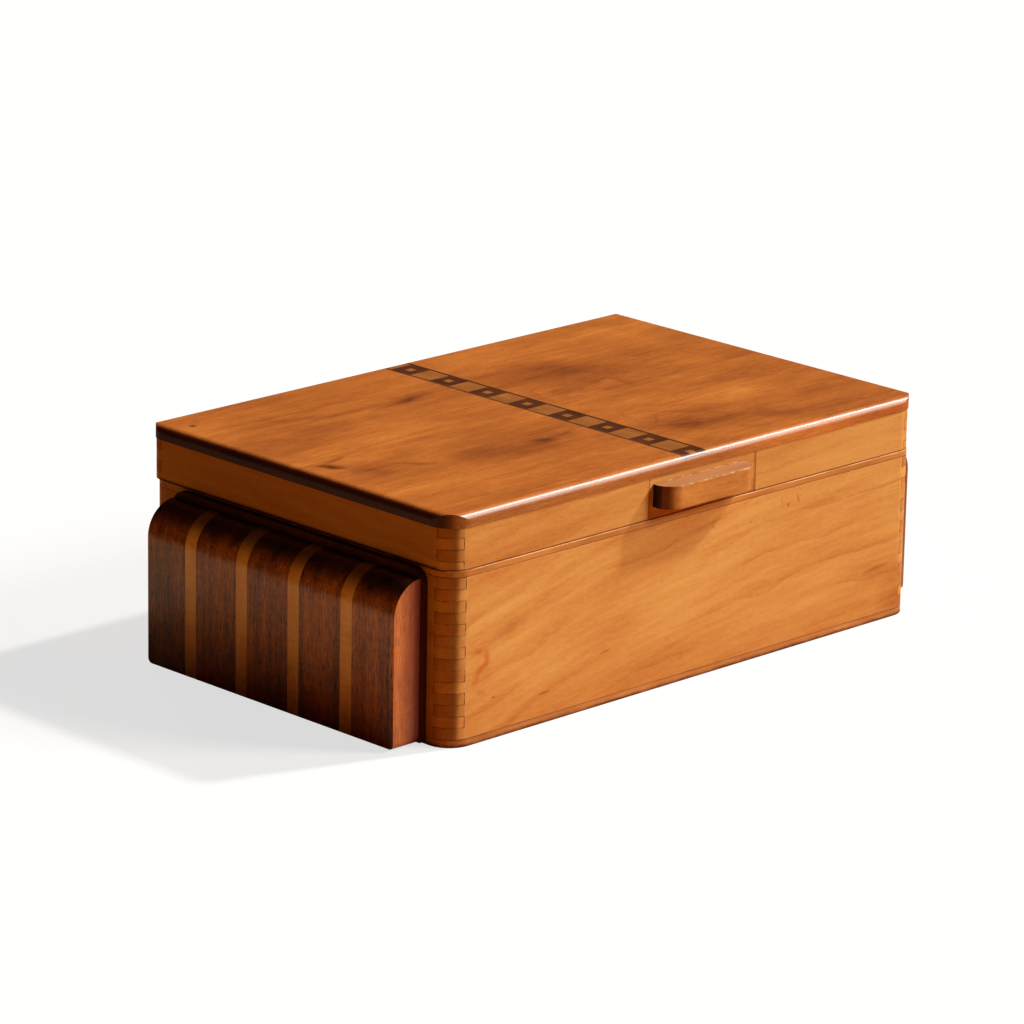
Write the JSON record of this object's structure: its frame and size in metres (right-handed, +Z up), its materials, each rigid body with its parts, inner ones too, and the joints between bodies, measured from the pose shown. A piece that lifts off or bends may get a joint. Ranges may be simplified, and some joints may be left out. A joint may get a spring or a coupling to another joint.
{
  "type": "hinged wooden box",
  "caption": "Low finger-jointed wooden box with rounded corners, a hinged lid with an inlaid band and front pull, and a laminated walnut block on each end.",
  "frame": {"origin": "centre of the base's plan, end blocks left out, on the underside that the box stands on", "axes": "+X along the front to the right, +Y from the front to the back, +Z up"},
  "size_m": [0.4114, 0.2513, 0.128],
  "materials": {
    "cherry": "satin varnish, honey brown",
    "red_cherry": "satin varnish, red brown",
    "top_cherry": "satin varnish, orange brown",
    "dark_plate": "satin varnish, dark red brown",
    "walnut": "satin varnish, dark walnut",
    "light_strip": "satin varnish, amber",
    "inlay_dark": "satin varnish, dark brown",
    "inlay_light": "satin varnish, olive brown",
    "ebonised_line": "satin varnish, near black",
    "hinge_brass": "satin brass",
    "screw_brass": "satin brass"
  },
  "bodies": {
    "base": {"bottom_panel": "red_cherry", "base_front_board": "cherry", "base_back_board": "cherry", "base_left_board": "cherry", "base_right_board": "cherry", "lipping_front": "red_cherry", "lipping_back": "red_cherry", "lipping_left": "red_cherry", "lipping_right": "red_cherry", "left_backing_plate": "dark_plate", "right_backing_plate": "dark_plate", "left_walnut_1": "walnut", "left_walnut_2": "walnut", "left_walnut_3": "walnut", "left_walnut_4": "walnut", "left_walnut_5": "walnut", "left_light_strip_1": "light_strip", "left_light_strip_2": "light_strip", "left_light_strip_3": "light_strip", "left_light_strip_4": "light_strip", "right_walnut_1": "walnut", "right_walnut_2": "walnut", "right_walnut_3": "walnut", "right_walnut_4": "walnut", "right_walnut_5": "walnut", "right_light_strip_1": "light_strip", "right_light_strip_2": "light_strip", "right_light_strip_3": "light_strip", "right_light_strip_4": "light_strip", "left_hinge_base_leaf": "hinge_brass", "right_hinge_base_leaf": "hinge_brass", "left_hinge_pin": "hinge_brass", "right_hinge_pin": "hinge_brass", "hinge_base_screws": "screw_brass"},
    "lid": {"lid_front_board": "cherry", "lid_back_board": "cherry", "lid_left_board": "cherry", "lid_right_board": "cherry", "top_board_front": "top_cherry", "top_board_rear": "top_cherry", "inlay_dark_squares": "inlay_dark", "inlay_light_squares": "inlay_light", "inlay_light_centres": "inlay_light", "inlay_line_left": "ebonised_line", "inlay_line_right": "ebonised_line", "pull_patch": "cherry", "pull": "top_cherry", "pull_screws": "screw_brass", "left_hinge_lid_leaf": "hinge_brass", "right_hinge_lid_leaf": "hinge_brass", "hinge_lid_screws": "screw_brass"}
  },
  "joints": [
    {"name": "lid_hinge", "type": "hinge", "parent": "base", "child": "lid", "pos_m": [0, 0.1173, 0.09715], "axis": [-1, 0, 0], "range_deg": [0, 100]}
  ]
}
